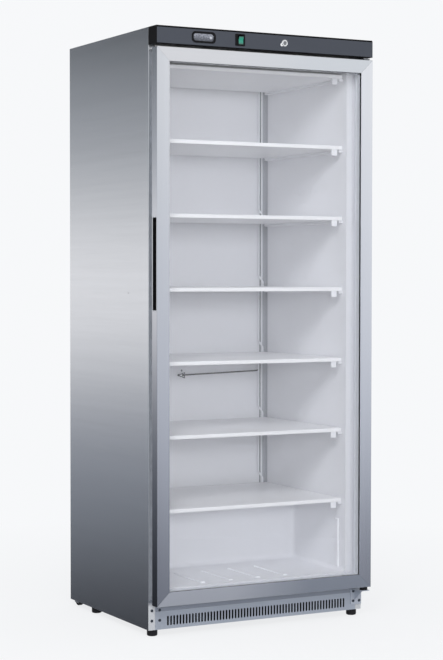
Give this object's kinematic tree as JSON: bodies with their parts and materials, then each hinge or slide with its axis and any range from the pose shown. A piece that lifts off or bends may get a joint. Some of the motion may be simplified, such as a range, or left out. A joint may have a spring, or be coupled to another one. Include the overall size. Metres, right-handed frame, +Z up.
{
  "type": "upright display freezer",
  "caption": "Tall upright freezer with a glass door in an aluminium frame, evaporator shelves, fascia with controls and a slotted kick panel",
  "frame": {"origin": "middle of the floor area that the freezer covers, at floor level", "axes": "+Z up, -Y out of the door's front, +X to the right of someone facing the door"},
  "size_m": [0.777, 0.701, 1.88],
  "materials": {
    "side_steel": "vertical brushed finish",
    "galvanised": "galvanised sheet",
    "white_sheet": "satin white",
    "liner_white": "satin white moulding",
    "foam": "closed-cell foam",
    "shelf_white": "satin white",
    "tube_white": "satin white",
    "kick_silver": "satin silver",
    "door_aluminium": "satin anodised",
    "seal_black": "matt",
    "gasket_grey": "matt light grey",
    "pane": "clear",
    "spacer_metal": "satin",
    "frame_plastic": "satin white",
    "handle_black": "semi-gloss",
    "fascia_grey": "satin dark grey",
    "control_black": "semi-gloss",
    "control_plate": "smooth light grey",
    "lens_green": "translucent green",
    "lock_chrome": "polished",
    "screw_dark": "blackened",
    "zinc": "zinc plated",
    "black_plastic": "matt",
    "black_paint": "satin black",
    "mount_rubber": "matt",
    "fin_metal": "mill finish",
    "copper_tube": "drawn copper"
  },
  "bodies": {
    "cabinet": {"side_panel_left": "side_steel", "side_panel_right": "side_steel", "top_panel": "galvanised", "back_panel": "galvanised", "bay_panel": "galvanised", "base_pan": "black_paint", "front_frame": "white_sheet", "inner_liner": "liner_white", "insulation_foam": "foam", "kick_grille": "kick_silver", "front_screws": "screw_dark", "evaporator_shelves": "shelf_white", "evaporator_coils": "tube_white", "shelf_tubes": "tube_white", "shelf_clips": "liner_white", "sensor_cable": "black_plastic", "sensor_clip": "liner_white", "fascia_panel": "fascia_grey", "thermostat_housing": "control_black", "thermostat_face": "control_plate", "switch_housing": "control_black", "lock_housing": "lock_chrome", "hinge_bracket_bottom": "zinc", "hinge_bracket_top": "zinc", "hinge_washer": "black_plastic", "compressor": "black_paint", "compressor_mounts": "mount_rubber", "relay_box": "black_plastic", "condenser": "fin_metal", "fan_shroud": "black_plastic", "fan_motor": "black_paint", "filter_drier": "copper_tube", "bay_pipes": "copper_tube", "terminal_box": "black_plastic", "power_inlet": "black_plastic", "wall_spacers": "black_plastic", "roller_brackets": "zinc"},
    "door": {"door_stile_left": "door_aluminium", "door_stile_right": "door_aluminium", "door_rail_bottom": "door_aluminium", "door_rail_top": "door_aluminium", "handle_insert": "handle_black", "glazing_seal": "seal_black", "glass_outer": "pane", "glass_spacer": "spacer_metal", "glass_inner": "pane", "door_inner_frame": "frame_plastic", "door_gasket": "gasket_grey", "hinge_bushes": "black_plastic"},
    "power_rocker": {"switch_rocker": "control_black", "switch_lens": "lens_green"},
    "key_cap": {"thermostat_key": "control_plate"},
    "lock_core": {"lock_plug": "lock_chrome"},
    "fan": {"fan_blades": "fin_metal"},
    "roller_left_wheel": {"roller_left": "black_plastic"},
    "roller_right_wheel": {"roller_right": "black_plastic"},
    "foot_front_left_screw": {"foot_front_left": "black_plastic"},
    "foot_front_right_screw": {"foot_front_right": "black_plastic"},
    "foot_rear_left_screw": {"foot_rear_left": "black_plastic"},
    "foot_rear_right_screw": {"foot_rear_right": "black_plastic"}
  },
  "joints": [
    {"name": "door_hinge", "type": "hinge", "parent": "cabinet", "child": "door", "pos_m": [0.374, -0.3225, 0.103], "axis": [0, 0, 1], "range_deg": [0, 120]},
    {"name": "lock_turn", "type": "hinge", "parent": "cabinet", "child": "lock_core", "pos_m": [0.059, -0.3445, 1.851], "axis": [0, 1, 0], "range_deg": [0, 90]},
    {"name": "rocker_tip", "type": "hinge", "parent": "cabinet", "child": "power_rocker", "pos_m": [-0.0995, -0.3355, 1.851], "axis": [-1, 0, 0], "range_deg": [0, 14]},
    {"name": "key_press", "type": "slide", "parent": "cabinet", "child": "key_cap", "axis": [0, 1, 0], "range_m": [0, 0.0008], "stiffness_N_per_m": 1500, "springref_m": -0.0005},
    {"name": "fan_spin", "type": "hinge", "parent": "cabinet", "child": "fan", "pos_m": [-0.245, 0.17, 0.142], "axis": [0, 1, 0], "continuous": true},
    {"name": "roller_left_spin", "type": "hinge", "parent": "cabinet", "child": "roller_left_wheel", "pos_m": [-0.365, 0.3025, 0.021], "axis": [1, 0, 0], "continuous": true},
    {"name": "roller_right_spin", "type": "hinge", "parent": "cabinet", "child": "roller_right_wheel", "pos_m": [0.365, 0.3025, 0.021], "axis": [1, 0, 0], "continuous": true},
    {"name": "foot_front_left_travel", "type": "slide", "parent": "cabinet", "child": "foot_front_left_screw", "axis": [0, 0, -1], "range_m": [0, 0.015]},
    {"name": "foot_front_right_travel", "type": "slide", "parent": "cabinet", "child": "foot_front_right_screw", "axis": [0, 0, -1], "range_m": [0, 0.015]},
    {"name": "foot_rear_left_travel", "type": "slide", "parent": "cabinet", "child": "foot_rear_left_screw", "axis": [0, 0, -1], "range_m": [0, 0.015]},
    {"name": "foot_rear_right_travel", "type": "slide", "parent": "cabinet", "child": "foot_rear_right_screw", "axis": [0, 0, -1], "range_m": [0, 0.015]}
  ]
}
